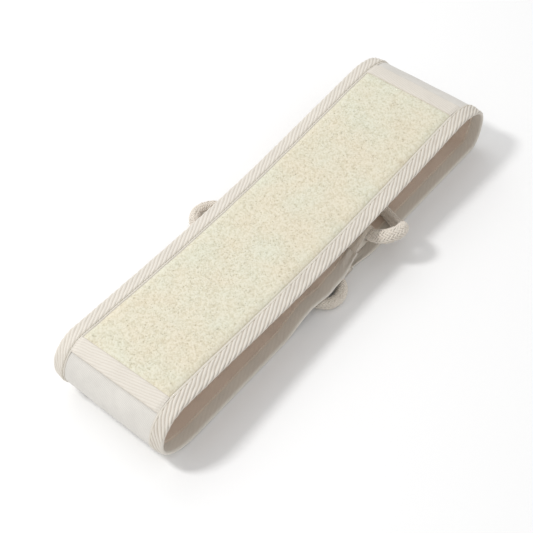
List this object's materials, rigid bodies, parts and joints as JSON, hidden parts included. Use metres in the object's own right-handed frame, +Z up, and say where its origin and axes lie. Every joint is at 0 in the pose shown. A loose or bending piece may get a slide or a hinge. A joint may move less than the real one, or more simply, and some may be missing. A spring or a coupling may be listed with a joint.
{
  "type": "loofah back scrubber",
  "caption": "Long cloth and loofah back scrubbing strap, folded into a flat loop, with bound edges and a braided cotton rope handle through a casing at each end.",
  "frame": {"origin": "on the surface the strap lies on, under the middle of the folded strap, the rope handles left out", "axes": "+X along the folded strap towards the far fold, +Y across it towards its left edge, +Z up"},
  "size_m": [0.386, 0.1504, 0.0509],
  "materials": {
    "loofah": "rough fibrous loofah, pale straw",
    "canvas": "plain weave cotton canvas, off-white",
    "wadding": "soft needled wadding, white",
    "lining": "looped cotton cloth, beige",
    "tape": "twill cotton tape, off-white",
    "thread": "cotton sewing thread, cream",
    "rope": "braided cotton rope, cream"
  },
  "bodies": {
    "panel": {"loofah_panel": "loofah", "panel_canvas": "canvas", "panel_wadding": "wadding", "panel_lining": "lining", "panel_binding_left": "tape", "panel_binding_right": "tape", "near_cross_strip": "tape", "far_cross_strip": "tape", "panel_seam_threads": "thread"},
    "near_end": {"near_canvas": "canvas", "near_wadding": "wadding", "near_lining": "lining", "near_binding_left": "tape", "near_binding_right": "tape", "near_casing": "canvas", "near_seam_threads": "thread"},
    "far_end": {"far_canvas": "canvas", "far_wadding": "wadding", "far_lining": "lining", "far_binding_left": "tape", "far_binding_right": "tape", "far_casing": "canvas", "far_seam_threads": "thread"},
    "near_handle": {"near_rope": "rope", "near_whipping": "thread"},
    "far_handle": {"far_rope": "rope", "far_whipping": "thread"}
  },
  "joints": [
    {"name": "far_fold", "type": "hinge", "parent": "panel", "child": "far_end", "pos_m": [0.193, 0, 0.025], "axis": [0, -1, 0], "range_deg": [0, 180]},
    {"name": "near_fold", "type": "hinge", "parent": "panel", "child": "near_end", "pos_m": [-0.193, 0, 0.025], "axis": [0, 1, 0], "range_deg": [0, 72]},
    {"name": "near_handle_turn", "type": "hinge", "parent": "near_end", "child": "near_handle", "pos_m": [0.043, 0, 0.022], "axis": [0, -1, 0], "range_deg": [0, 35]},
    {"name": "far_handle_turn", "type": "hinge", "parent": "far_end", "child": "far_handle", "pos_m": [0.005, 0, 0.0064], "axis": [0, -1, 0], "range_deg": [0, 90]}
  ],
  "couplings": [
    {"joint": "near_fold", "follows": "far_fold", "ratio": 0.4}
  ]
}
